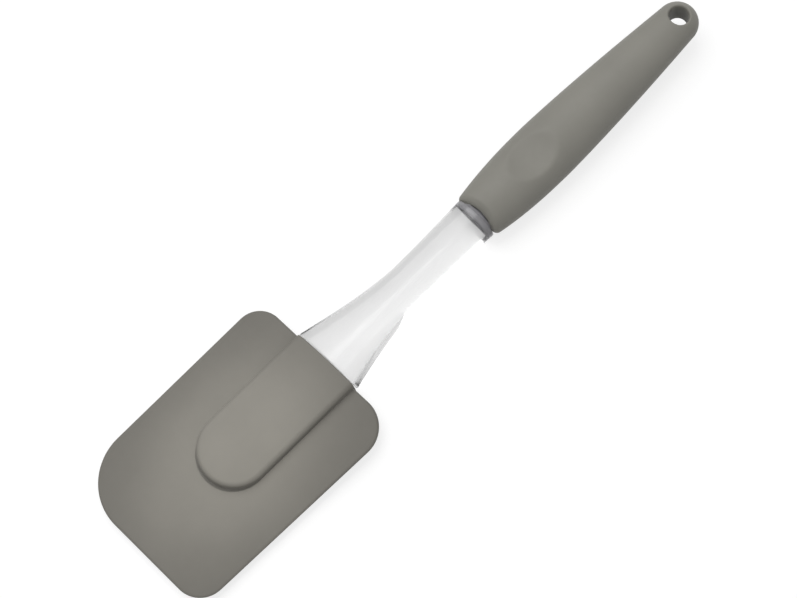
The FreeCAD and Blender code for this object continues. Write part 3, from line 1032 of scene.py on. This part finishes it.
    def spoke(self, sizes, point, z_end):
        """Points up the wall of the hole, round its rim and over the end to a point of the outline."""
        middle = Vector((HANG_HOLE["pos_m"][0], 0.0))
        radius = HANG_HOLE["dims"]["r_mm"] * MM
        outward = (point - middle).normalized()
        wall = middle + outward * radius
        edge = middle + outward * (radius + sizes.hole_edge)
        wall_top = self.top_height(sizes, edge.x, edge.y) - sizes.hole_sink
        line = [(wall.x, wall.y, MID_Z + z) for z in even(0.0, wall_top, self.wall_steps)[:-1]]
        for angle in quarter_turn(self.edge_steps)[:-1]:
            at = wall + outward * sizes.hole_edge * (1 - math.cos(angle))
            line.append((at.x, at.y, MID_Z + wall_top + sizes.hole_sink * math.sin(angle)))
        for angle in quarter_turn(self.spoke_steps)[:-1]:
            at = edge.lerp(point, math.sin(angle))
            line.append((at.x, at.y, MID_Z + self.top_height(sizes, at.x, at.y)))
        line.append((point.x, point.y, z_end))
        return line


class SPATULA_OT_stage(bpy.types.Operator):
    """Lay the floor under the tool, light it softly and set the camera"""

    bl_idname = "spatula.stage"
    bl_label = "Studio stage"

    # Half the side of the floor in metres, width of the camera's sensor in millimetres and its near limit
    floor_reach = 3.0
    sensor_width = 36.0
    clip_start = 0.01

    def execute(self, context):
        settings = context.scene.spatula_stage
        self.floor(context, settings)
        self.lamps(context, settings)
        self.world(context, settings)
        self.camera(context, settings)
        context.scene.view_settings.view_transform = "Standard"
        return {"FINISHED"}

    def floor(self, context, settings):
        """Pale floor that touches the belly of the grip and the back of the boss."""
        sleeve = bpy.data.objects["soft_sleeve"].data
        head = bpy.data.objects["moulded_head"].data
        belly = min((vertex.co for vertex in sleeve.vertices), key=lambda co: co.z)
        slope = min((vertex.co.z - belly.z) / (vertex.co.x - belly.x) for vertex in head.vertices)
        ends = (-self.floor_reach, self.floor_reach)
        corners = []
        for x in ends:
            for y in ends:
                corners.append((x, y, belly.z + slope * (x - belly.x)))
        mesh = bpy.data.meshes.new("studio_floor")
        mesh.from_pydata(corners, [], [(0, 2, 3, 1)])
        floor = bpy.data.objects.new("studio_floor", mesh)
        base = context.scene.spatula_finish.floor
        mesh.materials.append(floor_finish("pale_floor", base, settings.floor_seen, settings.floor_through))
        context.scene.collection.objects.link(floor)

    def lamps(self, context, settings):
        """Large soft lamp from the side of -Y, and a soft spot on the head from above the grip."""
        lamp = bpy.data.lights.new("key_lamp", "AREA")
        lamp.energy = settings.key_power
        lamp.size = settings.key_side
        key = bpy.data.objects.new("key_lamp", lamp)
        key.location = settings.key_from
        key.rotation_euler = (Vector(settings.key_to) - key.location).to_track_quat("-Z", "Y").to_euler()
        context.scene.collection.objects.link(key)
        glow = bpy.data.lights.new("head_lamp", "SPOT")
        glow.energy = settings.head_power
        glow.spot_size = settings.head_cone
        glow.spot_blend = 1.0
        glow.shadow_soft_size = settings.head_source
        spot = bpy.data.objects.new("head_lamp", glow)
        spot.matrix_world = self.aimed(Vector(settings.head_from), Vector(settings.head_to))
        spot.scale = (settings.head_stretch, 1.0, 1.0)
        spot.visible_glossy = False
        spot.visible_transmission = False
        context.scene.collection.objects.link(spot)

    def world(self, context, settings):
        """Even light from all around, which shows white to the camera."""
        world = bpy.data.worlds.new("studio")
        context.scene.world = world
        world.use_nodes = True
        tree = world.node_tree
        background = tree.nodes["Background"]
        background.inputs["Color"].default_value = (1.0, 1.0, 1.0, 1.0)
        level = seen_level(tree, settings.world_level, settings.world_seen, settings.world_through)
        tree.links.new(level, background.inputs["Strength"])

    def aimed(self, place, target, roll=0.0):
        """Matrix that looks from a place at a target, with a roll from the length of the tool."""
        ahead = (target - place).normalized()
        level = Vector((1.0, 0.0, 0.0))
        level = (level - ahead * level.dot(ahead)).normalized()
        right = level * math.cos(roll) + ahead.cross(level) * math.sin(roll)
        turn = Matrix((right, right.cross(ahead), -ahead)).transposed().to_4x4()
        return Matrix.Translation(place) @ turn

    def camera(self, context, settings):
        """Camera at the viewing angle of the picture."""
        lens = bpy.data.cameras.new("camera")
        lens.sensor_width = self.sensor_width
        lens.lens = lens.sensor_width * settings.focal_pixels / settings.picture_width
        lens.clip_start = self.clip_start
        camera = bpy.data.objects.new("camera", lens)
        place = Vector(settings.camera_from)
        camera.matrix_world = self.aimed(place, Vector(settings.camera_to), settings.camera_roll)
        context.scene.collection.objects.link(camera)
        context.scene.camera = camera


class SPATULA_PT_sidebar(bpy.types.Panel):
    """Lists the steps that dress the spatula and the sizes that they use"""

    bl_idname = "SPATULA_PT_sidebar"
    bl_label = "Silicone spatula"
    bl_space_type = "VIEW_3D"
    bl_region_type = "UI"
    bl_category = "Spatula"

    def draw(self, context):
        for step in STEPS:
            self.layout.operator(step.bl_idname)
        for name in SETTINGS:
            box = self.layout.box()
            group = getattr(context.scene, name)
            for prop in group.bl_rna.properties:
                if prop.identifier not in ("rna_type", "name"):
                    box.prop(group, prop.identifier)


SETTINGS = {
    "spatula_head": HeadSettings,
    "spatula_shank": ShankSettings,
    "spatula_sleeve": SleeveSettings,
    "spatula_finish": FinishSettings,
    "spatula_stage": StageSettings,
}
STEPS = (SPATULA_OT_head, SPATULA_OT_shank, SPATULA_OT_core, SPATULA_OT_sleeve, SPATULA_OT_stage)
CLASSES = (*SETTINGS.values(), *STEPS, SPATULA_PT_sidebar)


def register():
    for item in CLASSES:
        bpy.utils.register_class(item)
    for name, group in SETTINGS.items():
        setattr(bpy.types.Scene, name, PointerProperty(type=group))


def unregister():
    for name in SETTINGS:
        delattr(bpy.types.Scene, name)
    for item in reversed(CLASSES):
        bpy.utils.unregister_class(item)


def main():
    register()
    bpy.ops.spatula.head()
    bpy.ops.spatula.shank()
    bpy.ops.spatula.core()
    bpy.ops.spatula.sleeve()
    bpy.ops.spatula.stage()


if __name__ == "__main__":
    main()
